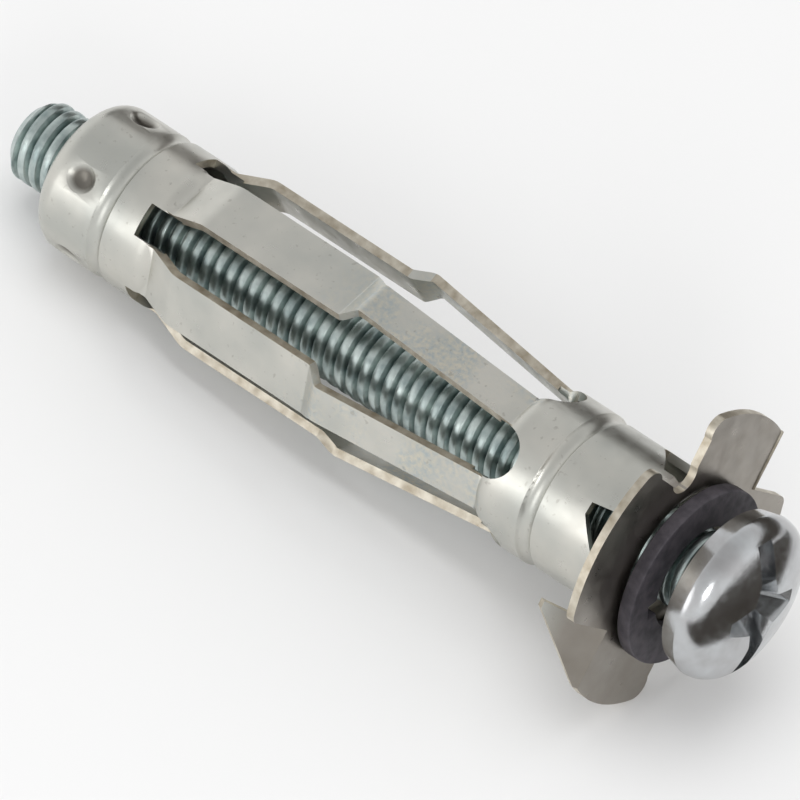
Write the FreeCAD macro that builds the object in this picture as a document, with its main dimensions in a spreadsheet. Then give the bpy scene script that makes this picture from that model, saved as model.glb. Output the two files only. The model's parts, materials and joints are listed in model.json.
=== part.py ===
import FreeCAD, Part
import Sketcher
import math
import os
import re

# Metal cavity fixing: a slit and pressed steel sleeve with a flange, a nut crimped into its rear collar,
# a pan head screw through both, and a loose washer under the screw's head.
# Millimetres. X runs along the screw from its tip to its head and lies level with the row's +X after the tilt.
# The origin is on the screw's axis, in the plane of the flange's back face, which bears on the wall.

SIZES = {
    # strip
    "wall": (0.6, "thickness of the rolled strip"),
    "sleeve_length": (52, "rear end to the flange's front face"),
    # rear collar, measured forward from the rear end
    "collar_radius": (5.4, "outside of the rear collar and of the bulge in front of it"),
    "lip_radius": (3.35, "hole left by the rolled-in rear edge"),
    "end_round": (1.5, "outside radius of the rolled-in rear edge"),
    "rear_groove_at": (5.6, "rear end to the middle of the rear groove"),
    "groove_half": (0.6, "half the width of each groove"),
    "groove_round": (0.8, "radius of each groove's floor"),
    "rear_fold_at": (10.2, "rear end to the fold where the legs start"),
    "shoulder_round": (1.6, "outside radius of each shoulder beside the legs"),
    "shoulder_drop": (0.8, "how far each shoulder closes in under the legs"),
    # front collar, measured back from the flange
    "bulge_radius": (5.65, "outside of the bulge in front of the legs"),
    "front_fold_at": (12.4, "flange to the fold where the legs end"),
    "front_groove_at": (8.0, "flange to the middle of the front groove"),
    "front_collar_radius": (5.5, "outside of the front collar"),
    "neck_radius": (5.25, "outside of the collar where it turns into the flange"),
    "neck_length": (1.3, "flange to the start of the neck"),
    "flange_bend": (0.5, "radius of the bend behind the flange"),
    # legs
    "leg_count": (5, "legs, slots and dents round the sleeve"),
    "leg_turn": (9, "degrees from straight up to the first leg"),
    "rear_fold_drop": (0.45, "how far inside the rear collar's surface a leg starts"),
    "front_fold_drop": (0.45, "how far inside the bulge's surface a leg ends"),
    "leg_rise": (0.6, "how far a leg's wide rear half stands outside the rear collar"),
    "front_leg_width": (2.7, "width of the front half"),
    "fold_root": (0.8, "how far a leg runs on into a collar at its folds"),
    "trim_height": (2.6, "level above the axis from which a leg is trimmed"),
    "trim_margin": (0.5, "how far the trim reaches past a leg's side"),
    "rise_length": (2.6, "rear fold to the start of the level stretch"),
    "knee_at": (24.8, "rear end to the knee between the two halves"),
    "knee_length": (1.2, "length of the knee's step"),
    "knee_step": (0.8, "how far the front half starts outside the rear half"),
    "fold_bend": (0.8, "outside radius of the bends at both folds"),
    "rise_bend": (2.0, "outside radius of the bend at the top of the rise"),
    "knee_bend": (0.9, "outside radius of the two bends of the knee"),
    # slots between the legs
    "rear_slot_width": (2.4, "width of the slots behind the legs"),
    "rear_slot_reach": (1.75, "how far they reach past the rear fold"),
    "front_slot_width": (3.7, "round ended slot in front of the front fold"),
    "front_slot_reach": (2.1, "how far it runs in front of the front fold"),
    # windows behind the flange
    "window_length": (4.2, "flange to the rear end of a window"),
    "window_side": (2.2, "flange to the upper end of the window's longer side"),
    "window_end": (0.8, "flange to the front end of a window"),
    "window_low": (2.9, "how far a window reaches below the slot's line"),
    "window_high": (1.2, "how far it reaches above that line"),
    "window_top": (0.9, "width of a window at its rear end"),
    # flange
    "lobe_radius": (10.8, "outside of the flange's lobes"),
    "gap_root": (6.3, "axis to the bottom of the two gaps between petals"),
    "gap_half": (1.2, "half the width of a gap at its bottom"),
    "gap_mouth_half": (2.4, "half the width of a gap at the rim"),
    "gap_corner": (1.1, "rounding of the lobes beside a gap"),
    "lobe_corner": (0.9, "rounding of the lobes beside a claw"),
    "cut_inner": (7.2, "axis to the inner end of the cut that frees a claw"),
    "cut_side": (1.2, "how far the cut's inner end stands past the middle of the petal"),
    "cut_mouth": (2.0, "how far the cut's outer end stands before the middle of the petal"),
    "claw_fold_side": (4.6, "how far the claw's fold meets the rim past the middle of the petal"),
    "claw_turn": (36, "degrees the claw is bent back from the flange"),
    "claw_blunt": (0.5, "width of the claw's blunt point"),
    # punched dents that hold the nut
    "dent_at": (3.05, "rear end to the middle of the dents"),
    "dent_radius": (1.5, "radius of the punch that made a dent"),
    "dent_depth": (0.5, "depth of a dent in the collar"),
    # nut
    "nut_length": (4.1, "length of the nut"),
    "nut_clearance": (0.04, "gap round the nut in its collar"),
    "thread_clearance": (0.05, "gap round the screw in the nut"),
    "nut_chamfer": (0.4, "chamfer at both ends of the nut's bore"),
    "nut_waist_half": (1.2, "half the width of the groove that takes the dents"),
    "nut_waist_depth": (0.6, "depth of that groove"),
    # screw
    "screw_length": (60, "under the head to the tip"),
    "thread_radius": (2.95, "outside of the thread"),
    "tip_chamfer": (0.6, "chamfer at the tip"),
    "head_gap": (3.4, "flange's front face to the underside of the head"),
    "head_radius": (6.0, "widest radius of the head"),
    "head_seat_radius": (5.6, "radius of the head's flat underside"),
    "head_rim_height": (1.25, "underside to the widest place"),
    "dome_radius": (12.0, "radius of the head's top"),
    "edge_radius": (1.8, "radius between the widest place and the top"),
    "recess_reach": (3.4, "axis to the end of a wing of the cross recess"),
    "recess_wing": (1.15, "width of a wing at the top"),
    "recess_core": (1.2, "half the width of the middle of the recess at the top"),
    "recess_depth": (2.3, "depth of the recess from the top of the head"),
    "recess_taper": (0.45, "how much of the recess is left at its bottom"),
    "recess_turn": (10, "degrees between the recess and the legs"),
    # washer
    "washer_radius": (6.45, "outside of the washer"),
    "washer_bore": (3.75, "radius of its hole"),
    "washer_thickness": (1.05, "thickness of the washer"),
    "washer_gap": (0.3, "gap between the washer and the flange"),
    "washer_slack": (0.08, "gap left where its hole hangs on the thread"),
    "notch_width": (1.1, "width of the two notches in its hole"),
    "notch_depth": (0.75, "depth of the two notches"),
}

doc = FreeCAD.newDocument("cavity_fixing")
sheet = doc.addObject("Spreadsheet::Sheet", "Sizes")
for row, (name, (value, note)) in enumerate(SIZES.items(), 1):
    sheet.set(f"A{row}", str(value))
    sheet.setAlias(f"A{row}", name)
    sheet.set(f"B{row}", note)
doc.recompute()

WORD = re.compile(r"\b[a-z_]+\b")


def sized(text):
    """An expression in the sheet's names, with each name pointed at its cell."""
    return WORD.sub(lambda m: "Sizes." + m.group() if m.group() in SIZES else m.group(), str(text))


def value(text):
    """What such an expression comes to now."""
    result = sheet.evalExpression(sized(text))
    return float(getattr(result, "Value", result))


# places along the axis, as expressions of the sheet's names
REAR_END = "(wall - sleeve_length)"
REAR_FOLD = f"({REAR_END} + rear_fold_at)"
FRONT_FOLD = "(-front_fold_at)"
KNEE = f"({REAR_END} + knee_at)"
HEAD_SEAT = "(wall + head_gap)"
WASHER_BACK = "(wall + washer_gap)"
REAR_TURN = "acos(1 - rear_fold_drop / shoulder_round)"
FRONT_TURN = "acos(1 - front_fold_drop / shoulder_round)"
REAR_SHOULDER = f"({REAR_FOLD} - shoulder_round * sin({REAR_TURN}))"
FRONT_SHOULDER = f"({FRONT_FOLD} + shoulder_round * sin({FRONT_TURN}))"

# The fixing lies on the two lobes beside its lower gap and on the rear collar, so its axis climbs to the head.
CORNER_OUT = "(gap_mouth_half + gap_corner)"
CORNER_UP = f"sqrt((lobe_radius - gap_corner) ^ 2 - {CORNER_OUT} ^ 2)"
REST_RADIUS = f"({CORNER_UP} + gap_corner)"
TILT = f"atan(({REST_RADIUS} - collar_radius) / (sleeve_length - wall - end_round))"


def new_body(label):
    """A body that carries a node's name and lies tilted as the whole fixing does."""
    body = doc.addObject("PartDesign::Body", label)
    body.Label = label
    body.Placement = FreeCAD.Placement(FreeCAD.Vector(), FreeCAD.Rotation(FreeCAD.Vector(0, -1, 0), value(TILT)))
    body.setExpression("Placement.Rotation.Angle", sized(TILT))
    return body


def plane_of(body, role):
    """One of the body's own origin planes."""
    return next(f for f in body.Origin.OriginFeatures if getattr(f, "Role", "") == role)


def new_sketch(body, name, role, offset=None):
    """An empty sketch on one of the body's planes; offset moves or turns it there."""
    sketch = body.newObject("Sketcher::SketchObject", name)
    sketch.AttachmentSupport = [(plane_of(body, role), "")]
    sketch.MapMode = "FlatFace"
    if offset is not None:
        sketch.AttachmentOffset = offset
    return sketch


def arc_between(start, end, radius, side):
    """The short arc from start to end, with its centre on the left (side 1) or the right (side -1)."""
    across = end - start
    rise = math.sqrt(max(radius ** 2 - across.Length ** 2 / 4, 0))
    left = FreeCAD.Vector(-across.y, across.x, 0).normalize()
    centre = (start + end) * 0.5 + left * rise * side
    first, last = (start, end) if side > 0 else (end, start)
    angles = [math.atan2(p.y - centre.y, p.x - centre.x) for p in (first, last)]
    if angles[1] < angles[0]:
        angles[1] += 2 * math.pi
    circle = Part.Circle(centre, FreeCAD.Vector(0, 0, 1), radius)
    return Part.ArcOfCircle(circle, *angles)


def outline(sketch, corners):
    """A closed outline. A corner is (x, y), or (x, y, radius, side) where an arc leads on from it."""
    points = [FreeCAD.Vector(value(c[0]), value(c[1]), 0) for c in corners]
    ends = []
    for i, corner in enumerate(corners):
        start, end = points[i], points[(i + 1) % len(points)]
        if len(corner) == 2:
            index = sketch.addGeometry(Part.LineSegment(start, end), False)
            ends.append((index, 1, 2))
        else:
            radius, side = corner[2], corner[3]
            index = sketch.addGeometry(arc_between(start, end, value(radius), side), False)
            ends.append((index, 1, 2) if side > 0 else (index, 2, 1))
            hold(sketch, Sketcher.Constraint("Radius", index, value(radius)), radius)
    for i, (index, _, last) in enumerate(ends):
        following, first, _ = ends[(i + 1) % len(ends)]
        sketch.addConstraint(Sketcher.Constraint("Coincident", index, last, following, first))
    for (index, first, _), corner, point in zip(ends, corners, points):
        hold(sketch, Sketcher.Constraint("DistanceX", -1, 1, index, first, point.x), corner[0])
        hold(sketch, Sketcher.Constraint("DistanceY", -1, 1, index, first, point.y), corner[1])


def hold(sketch, constraint, text):
    """Add a constraint and bind its size to the sheet."""
    number = sketch.addConstraint(constraint)
    sketch.setExpression(f"Constraints[{number}]", sized(text))


def round_hole(sketch, x, y, radius):
    """A circle in a sketch."""
    index = sketch.addGeometry(Part.Circle(FreeCAD.Vector(value(x), value(y), 0), FreeCAD.Vector(0, 0, 1),
                                           value(radius)), False)
    hold(sketch, Sketcher.Constraint("Radius", index, value(radius)), radius)
    hold(sketch, Sketcher.Constraint("DistanceX", -1, 1, index, 3, value(x)), x)
    hold(sketch, Sketcher.Constraint("DistanceY", -1, 1, index, 3, value(y)), y)


def revolve(body, name, sketch):
    """The sketch turned once round the axis of the screw."""
    feature = body.newObject("PartDesign::Revolution", name)
    feature.Profile = sketch
    feature.ReferenceAxis = (sketch, ["H_Axis"])
    feature.Angle = 360
    doc.recompute()
    return feature


def pad(body, name, sketch, length, midplane=False, reversed_=False):
    feature = body.newObject("PartDesign::Pad", name)
    feature.Profile = sketch
    feature.setExpression("Length", sized(length))
    feature.Midplane = midplane
    feature.Reversed = reversed_
    doc.recompute()
    return feature


def pocket(body, name, sketch, length, reversed_=False):
    """A cut away from the sketch's plane. It has to take something off."""
    before = body.Shape.Volume
    feature = body.newObject("PartDesign::Pocket", name)
    feature.Profile = sketch
    feature.setExpression("Length", sized(length))
    feature.Reversed = reversed_
    doc.recompute()
    if body.Shape.Volume > before - 1e-6:
        raise RuntimeError(f"{name} cuts nothing")
    return feature


def bent_strip(points, radii):
    """The outline of a strip of sheet whose outside runs through the points, with a round bend at each."""
    outer, inner = [points[0]], []
    for before, point, after, (radius, side) in zip(points, points[1:], points[2:], radii):
        first = f"atan2({point[1]} - {before[1]}; {point[0]} - {before[0]})"
        last = f"atan2({after[1]} - {point[1]}; {after[0]} - {point[0]})"
        half, middle = f"(({last} - {first}) / 2)", f"(({last} + {first}) / 2)"
        beyond = (f"({point[0]} + wall * sin{middle} / cos{half})", f"({point[1]} - wall * cos{middle} / cos{half})")
        tight = f"({radius} - wall)"
        for line, corner, bend, way in ((outer, point, radius if side < 0 else tight, side),
                                        (inner, beyond, tight if side < 0 else radius, side)):
            reach = f"abs({bend} * tan{half})"
            line.append((f"{corner[0]} - {reach} * cos({first})", f"{corner[1]} - {reach} * sin({first})",
                         bend, way))
            line.append((f"{corner[0]} + {reach} * cos({last})", f"{corner[1]} + {reach} * sin({last})"))
    outer.append(points[-1])
    back = [(points[-1][0], f"{points[-1][1]} - wall")]
    for start, end in reversed(list(zip(inner[::2], inner[1::2]))):
        back.append((end[0], end[1], start[2], -start[3]))
        back.append((start[0], start[1]))
    back.append((points[0][0], f"{points[0][1]} - wall"))
    return outer + back


def repeat(body, name, features, count):
    """The features set evenly round the screw's axis."""
    pattern = body.newObject("PartDesign::PolarPattern", name)
    pattern.Originals = features
    pattern.Axis = (next(f for f in body.Origin.OriginFeatures if f.Role == "X_Axis"), [""])
    pattern.Angle = 360
    pattern.setExpression("Occurrences", sized(count))
    body.Tip = pattern
    doc.recompute()
    return pattern


def turned(degrees, lift=0):
    """A sketch plane turned round the screw's axis and lifted off it."""
    turn = FreeCAD.Rotation(FreeCAD.Vector(1, 0, 0), degrees)
    return FreeCAD.Placement(turn.multVec(FreeCAD.Vector(0, 0, lift)), turn)


# Sleeve. The collars are turned profiles of the strip, closed in at their shoulders down to the legs.
sleeve = new_body("anchor_sleeve")

rear_profile = new_sketch(sleeve, "rear_profile", "XZ_Plane")
INNER = "collar_radius - wall"
SHOULDER_TURN = "acos(1 - shoulder_drop / shoulder_round)"
outline(rear_profile, [
    (REAR_END, "lip_radius"),
    (REAR_END, "collar_radius - end_round", "end_round", -1),
    (f"{REAR_END} + end_round", "collar_radius"),
    (f"{REAR_END} + rear_groove_at - groove_half", "collar_radius", "groove_round", 1),
    (f"{REAR_END} + rear_groove_at + groove_half", "collar_radius"),
    (REAR_SHOULDER, "collar_radius", "shoulder_round", -1),
    (f"{REAR_SHOULDER} + shoulder_round * sin({SHOULDER_TURN})", "collar_radius - shoulder_drop"),
    (f"{REAR_SHOULDER} + (shoulder_round - wall) * sin({SHOULDER_TURN})",
     f"collar_radius - shoulder_round + (shoulder_round - wall) * cos({SHOULDER_TURN})",
     "shoulder_round - wall", 1),
    (REAR_SHOULDER, INNER),
    (f"{REAR_END} + rear_groove_at + groove_half", INNER, "groove_round", -1),
    (f"{REAR_END} + rear_groove_at - groove_half", INNER),
    (f"{REAR_END} + end_round", INNER, "end_round - wall", 1),
    (f"{REAR_END} + wall", "collar_radius - end_round"),
    (f"{REAR_END} + wall", "lip_radius"),
])
rear_collar = revolve(sleeve, "rear_collar", rear_profile)

# One leg: a strip that rises from the rear fold, runs level, steps out at the knee and falls to the front fold.
REAR_HEIGHT = "(collar_radius - rear_fold_drop)"
FRONT_HEIGHT = "(bulge_radius - front_fold_drop)"
LEG_HEIGHT = "(collar_radius + leg_rise)"
LEG_WIDTH = "(2 * pi * (collar_radius - wall / 2) / leg_count - rear_slot_width)"
leg_side = new_sketch(sleeve, "leg_side", "XZ_Plane", turned(value("leg_turn")))
outline(leg_side, bent_strip([
    (f"({REAR_FOLD} - fold_root)", REAR_HEIGHT),
    (REAR_FOLD, REAR_HEIGHT),
    (f"({REAR_FOLD} + rise_length)", LEG_HEIGHT),
    (KNEE, LEG_HEIGHT),
    (f"({KNEE} + knee_length)", f"({LEG_HEIGHT} + knee_step)"),
    (FRONT_FOLD, FRONT_HEIGHT),
    (f"({FRONT_FOLD} + fold_root)", FRONT_HEIGHT),
], [("fold_bend", 1), ("rise_bend", -1), ("knee_bend", 1), ("knee_bend", -1), ("fold_bend", 1)]))
leg = pad(sleeve, "leg", leg_side, LEG_WIDTH, midplane=True)

# The front half is trimmed to a narrower strip on both sides.
leg_trim = new_sketch(sleeve, "leg_trim", "XY_Plane", turned(value("leg_turn"), value("trim_height")))
for side in ("", "-"):
    outline(leg_trim, [
        (KNEE, f"{side}{LEG_WIDTH} / 2"),
        (f"{KNEE} + knee_length", f"{side}front_leg_width / 2"),
        (f"{FRONT_FOLD} + fold_root", f"{side}front_leg_width / 2"),
        (f"{FRONT_FOLD} + fold_root", f"{side}({LEG_WIDTH} / 2 + trim_margin)"),
        (KNEE, f"{side}({LEG_WIDTH} / 2 + trim_margin)"),
    ])
leg_narrowing = pocket(sleeve, "leg_narrowing", leg_trim, f"{LEG_HEIGHT} + knee_step", reversed_=True)
legs = repeat(sleeve, "legs", [leg, leg_narrowing], "leg_count")

front_profile = new_sketch(sleeve, "front_profile", "XZ_Plane")
outline(front_profile, [
    (f"{FRONT_SHOULDER} - shoulder_round * sin({SHOULDER_TURN})", "bulge_radius - shoulder_drop",
     "shoulder_round", -1),
    (FRONT_SHOULDER, "bulge_radius"),
    ("-front_groove_at - groove_half", "bulge_radius", "groove_round", 1),
    ("-front_groove_at + groove_half", "front_collar_radius"),
    ("-neck_length", "front_collar_radius"),
    ("-flange_bend", "neck_radius", "flange_bend", 1),
    ("0", "neck_radius + flange_bend"),
    ("0", "lobe_radius"),
    ("wall", "lobe_radius"),
    ("wall", "neck_radius + flange_bend", "flange_bend + wall", -1),
    ("-flange_bend", "neck_radius - wall"),
    ("-neck_length", "front_collar_radius - wall"),
    ("-front_groove_at + groove_half", "front_collar_radius - wall", "groove_round", -1),
    ("-front_groove_at - groove_half", "bulge_radius - wall"),
    (FRONT_SHOULDER, "bulge_radius - wall", "shoulder_round - wall", 1),
    (f"{FRONT_SHOULDER} - (shoulder_round - wall) * sin({SHOULDER_TURN})",
     f"bulge_radius - shoulder_round + (shoulder_round - wall) * cos({SHOULDER_TURN})"),
])
front_collar = revolve(sleeve, "front_collar", front_profile)

# Slots between the legs: square at the rear, round at the front.
SLOT_TURN = value("leg_turn + 180 / leg_count")
rear_slot_plan = new_sketch(sleeve, "rear_slot_plan", "XY_Plane", turned(SLOT_TURN, 1))
outline(rear_slot_plan, [
    (f"{REAR_FOLD} - rear_slot_reach", "-rear_slot_width / 2"),
    (f"{REAR_FOLD} + fold_root", "-rear_slot_width / 2"),
    (f"{REAR_FOLD} + fold_root", "rear_slot_width / 2"),
    (f"{REAR_FOLD} - rear_slot_reach", "rear_slot_width / 2"),
])
rear_slot = pocket(sleeve, "rear_slot", rear_slot_plan, "collar_radius", reversed_=True)
repeat(sleeve, "rear_slots", [rear_slot], "leg_count")

front_slot_plan = new_sketch(sleeve, "front_slot_plan", "XY_Plane", turned(SLOT_TURN, 1))
outline(front_slot_plan, [
    (f"{FRONT_FOLD} - fold_root", "-front_slot_width / 2"),
    (f"{FRONT_FOLD} + front_slot_reach - front_slot_width / 2", "-front_slot_width / 2",
     "front_slot_width / 2", 1),
    (f"{FRONT_FOLD} + front_slot_reach", "0", "front_slot_width / 2", 1),
    (f"{FRONT_FOLD} + front_slot_reach - front_slot_width / 2", "front_slot_width / 2"),
    (f"{FRONT_FOLD} - fold_root", "front_slot_width / 2"),
])
front_slot = pocket(sleeve, "front_slot", front_slot_plan, "bulge_radius", reversed_=True)
repeat(sleeve, "front_slots", [front_slot], "leg_count")

# Windows where the flange was turned out of the collar.
window_plan = new_sketch(sleeve, "window_plan", "XY_Plane", turned(45, 1))
outline(window_plan, [
    ("-window_length", "-window_top / 4"),
    ("-window_side", "-window_low"),
    ("-window_end", "-window_low"),
    ("-window_end", "window_high"),
    ("-window_length", "window_top * 0.75"),
])
window = pocket(sleeve, "window", window_plan, "front_collar_radius", reversed_=True)
repeat(sleeve, "windows", [window], 4)

# Flange: two petals parted by a gap above and a gap below, each petal cut near its middle to free a claw.
CORNER_SHARE = "(lobe_radius / (lobe_radius - gap_corner))"
gap_outline = new_sketch(sleeve, "gap_outline", "YZ_Plane", FreeCAD.Placement(FreeCAD.Vector(0, 0, -1),
                                                                               FreeCAD.Rotation()))
outline(gap_outline, [
    ("-gap_half", "gap_root + gap_half", "gap_half", 1),
    ("0", "gap_root", "gap_half", 1),
    ("gap_half", "gap_root + gap_half"),
    ("gap_mouth_half", CORNER_UP, "gap_corner", -1),
    (f"{CORNER_OUT} * {CORNER_SHARE}", f"{CORNER_UP} * {CORNER_SHARE}"),
    (f"{CORNER_OUT} * {CORNER_SHARE}", "lobe_radius + 1"),
    (f"-{CORNER_OUT} * {CORNER_SHARE}", "lobe_radius + 1"),
    (f"-{CORNER_OUT} * {CORNER_SHARE}", f"{CORNER_UP} * {CORNER_SHARE}", "gap_corner", -1),
    ("-gap_mouth_half", CORNER_UP),
])
gap = pocket(sleeve, "gap", gap_outline, "wall + 2", reversed_=True)
repeat(sleeve, "gaps", [gap], 2)

# The cut runs in from the rim; what lies between it and the claw's fold comes away with the claw.
RIM = "(lobe_radius + 0.05)"
RIM_AT_FOLD = f"sqrt({RIM} ^ 2 - claw_fold_side ^ 2)"
RIM_AT_CUT = f"sqrt({RIM} ^ 2 - cut_mouth ^ 2)"
cut_outline = new_sketch(sleeve, "cut_outline", "YZ_Plane", FreeCAD.Placement(FreeCAD.Vector(0, 0, -1),
                                                                              FreeCAD.Rotation()))
outline(cut_outline, [
    ("-cut_inner", "-cut_side"),
    (f"-{RIM_AT_FOLD}", "-claw_fold_side"),
    ("-lobe_radius - 1", "-claw_fold_side"),
    ("-lobe_radius - 1", "cut_mouth"),
    (f"-{RIM_AT_CUT}", "cut_mouth"),
])
claw_cut = pocket(sleeve, "claw_cut", cut_outline, "wall + 2", reversed_=True)
cuts = repeat(sleeve, "claw_cuts", [claw_cut], 2)

# The lobes' corners beside the claws are rounded.
sharp = []
for number, edge in enumerate(cuts.Shape.Edges, 1):
    middle = edge.CenterOfMass
    for y, z in ((-value(RIM_AT_CUT), value("cut_mouth")), (-value(RIM_AT_FOLD), -value("claw_fold_side"))):
        for way in (1, -1):
            spot = FreeCAD.Vector(value("wall / 2"), y * way, z * way)
            if middle.distanceToPoint(spot) < 0.2 and edge.Length < value("wall") * 1.01:
                sharp.append(f"Edge{number}")
corners = sleeve.newObject("PartDesign::Fillet", "lobe_corners")
corners.Base = (cuts, sharp)
corners.setExpression("Radius", sized("lobe_corner"))
sleeve.Tip = corners
doc.recompute()

# A claw is the corner between the cut and the fold, bent back towards the wall about the fold.
FOLD_LENGTH = f"sqrt(({RIM_AT_FOLD} - cut_inner) ^ 2 + (claw_fold_side - cut_side) ^ 2)"
ALONG_Y = f"((cut_inner - {RIM_AT_FOLD}) / {FOLD_LENGTH})"
ALONG_Z = f"((cut_side - claw_fold_side) / {FOLD_LENGTH})"
POINT_Y = f"(cut_inner - {RIM_AT_CUT})"
POINT_Z = "(cut_side + cut_mouth)"
POINT_ALONG = f"({POINT_Y} * {ALONG_Y} + {POINT_Z} * {ALONG_Z})"
POINT_OUT = f"({POINT_Z} * {ALONG_Y} - {POINT_Y} * {ALONG_Z})"
along = FreeCAD.Vector(0, value(ALONG_Y), value(ALONG_Z))
level = FreeCAD.Vector(0, value(ALONG_Z), -value(ALONG_Y))
bent = level * math.cos(math.radians(value("claw_turn"))) - FreeCAD.Vector(
    math.sin(math.radians(value("claw_turn"))), 0, 0)
fold_start = FreeCAD.Vector(value("wall / 2"), -value("cut_inner"), -value("cut_side"))
claw_place = FreeCAD.Placement(fold_start, FreeCAD.Rotation(along, bent, FreeCAD.Vector(), "XYZ"))
claw_plan = new_sketch(sleeve, "claw_plan", "XY_Plane", claw_place)
outline(claw_plan, [
    ("0", "-wall / 2"),
    (FOLD_LENGTH, "-wall / 2"),
    (FOLD_LENGTH, f"{POINT_OUT} * -0.02"),
    (f"{POINT_ALONG} + claw_blunt", f"-{POINT_OUT}"),
    (POINT_ALONG, f"-{POINT_OUT}"),
])
claw = pad(sleeve, "claw", claw_plan, "wall", midplane=True)
repeat(sleeve, "claws", [claw], 2)

# Dents: the collar is punched inwards at five places, in line with the slots, to hold the nut.
DENT_CENTRE = "(collar_radius + dent_radius - dent_depth)"
DENT_LEVEL = "(collar_radius - wall / 2)"
DENT_HALF = f"sqrt((dent_radius + wall) ^ 2 - ({DENT_CENTRE} - {DENT_LEVEL}) ^ 2)"


def dent_place():
    """The plane through a dent and the axis of the screw, with the dent's own axis as its vertical one."""
    return FreeCAD.Placement(FreeCAD.Vector(value(f"{REAR_END} + dent_at"), 0, 0),
                             FreeCAD.Rotation(FreeCAD.Vector(1, 0, 0), SLOT_TURN))


dent_bump = new_sketch(sleeve, "dent_bump", "XZ_Plane", dent_place())
outline(dent_bump, [
    ("0", f"{DENT_CENTRE} - dent_radius - wall", "dent_radius + wall", 1),
    (DENT_HALF, DENT_LEVEL),
    ("0", DENT_LEVEL),
])
dent_inside = sleeve.newObject("PartDesign::Revolution", "dent_inside")
dent_inside.Profile = dent_bump
dent_inside.ReferenceAxis = (dent_bump, ["V_Axis"])
dent_inside.Angle = 360
doc.recompute()
dent_hollow = new_sketch(sleeve, "dent_hollow", "XZ_Plane", dent_place())
outline(dent_hollow, [
    ("0", f"{DENT_CENTRE} - dent_radius", "dent_radius", 1),
    ("dent_radius", DENT_CENTRE),
    ("0", DENT_CENTRE),
])
dent_outside = sleeve.newObject("PartDesign::Groove", "dent_outside")
dent_outside.Profile = dent_hollow
dent_outside.ReferenceAxis = (dent_hollow, ["V_Axis"])
dent_outside.Angle = 360
doc.recompute()
repeat(sleeve, "dents", [dent_inside, dent_outside], "leg_count")

# Nut: a round one, waisted where the dents hold it, with its bore open for the screw.
nut = new_body("threaded_nut")
NUT_REAR = f"({REAR_END} + wall + nut_clearance)"
NUT_FRONT = f"({NUT_REAR} + nut_length)"
NUT_RADIUS = "(collar_radius - wall - nut_clearance)"
NUT_BORE = "(thread_radius + thread_clearance)"
DENT_X = f"({REAR_END} + dent_at)"
nut_profile = new_sketch(nut, "nut_profile", "XZ_Plane")
outline(nut_profile, [
    (f"{NUT_REAR} + nut_chamfer", NUT_BORE),
    (NUT_REAR, f"{NUT_BORE} + nut_chamfer"),
    (NUT_REAR, f"{NUT_RADIUS} - end_round + wall"),
    (f"{NUT_REAR} + end_round - wall", NUT_RADIUS),
    (f"{DENT_X} - nut_waist_half - nut_waist_depth / 2", NUT_RADIUS),
    (f"{DENT_X} - nut_waist_half", f"{NUT_RADIUS} - nut_waist_depth"),
    (f"{DENT_X} + nut_waist_half", f"{NUT_RADIUS} - nut_waist_depth"),
    (f"{DENT_X} + nut_waist_half + nut_waist_depth / 2", NUT_RADIUS),
    (NUT_FRONT, NUT_RADIUS),
    (NUT_FRONT, f"{NUT_BORE} + nut_chamfer"),
    (f"{NUT_FRONT} - nut_chamfer", NUT_BORE),
])
revolve(nut, "nut_turning", nut_profile)

# Screw: its thread is a plain cylinder here, with a chamfered tip and a pan head.
screw = new_body("pan_head_screw")
TIP = f"({HEAD_SEAT} - screw_length)"
EDGE_RUN = "sqrt((dome_radius - edge_radius) ^ 2 - (head_radius - edge_radius) ^ 2)"
HEAD_TOP = f"({HEAD_SEAT} + head_rim_height + dome_radius - {EDGE_RUN})"
DOME_SHARE = "(dome_radius / (dome_radius - edge_radius))"
screw_profile = new_sketch(screw, "screw_profile", "XZ_Plane")
outline(screw_profile, [
    (TIP, "0"),
    (TIP, "thread_radius - tip_chamfer"),
    (f"{TIP} + tip_chamfer", "thread_radius"),
    (HEAD_SEAT, "thread_radius"),
    (HEAD_SEAT, "head_seat_radius"),
    (f"{HEAD_SEAT} + head_rim_height", "head_radius", "edge_radius", -1),
    (f"{HEAD_TOP} - dome_radius + {EDGE_RUN} * {DOME_SHARE}", f"(head_radius - edge_radius) * {DOME_SHARE}",
     "dome_radius", -1),
    (HEAD_TOP, "0"),
])
revolve(screw, "screw_turning", screw_profile)


def cross(name, x, scale):
    """The outline of the cross recess at one depth."""
    sketch = new_sketch(screw, name, "YZ_Plane", FreeCAD.Placement(
        FreeCAD.Vector(0, 0, value(x)), FreeCAD.Rotation(FreeCAD.Vector(0, 0, 1), -value("recess_turn"))))
    reach, half, core = f"recess_reach * {scale}", f"recess_wing / 2 * {scale}", f"recess_core * {scale}"
    corners = []
    for a, b in ((1, 0), (0, 1), (-1, 0), (0, -1)):
        for far, side in ((reach, -1), (reach, 1)):
            corners.append((f"{far} * {a} - {half} * {side * b}", f"{far} * {b} + {half} * {side * a}"))
        corners.append((f"{core} * {a - b}", f"{core} * {a + b}"))
    outline(sketch, corners)
    return sketch


recess = screw.newObject("PartDesign::SubtractiveLoft", "cross_recess")
recess_top = cross("recess_top", HEAD_TOP, "1")
recess_floor = cross("recess_floor", f"{HEAD_TOP} - recess_depth", "recess_taper")
recess.Profile = recess_top
recess.Sections = [recess_floor]
recess.Ruled = True
screw.Tip = recess
doc.recompute()

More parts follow.
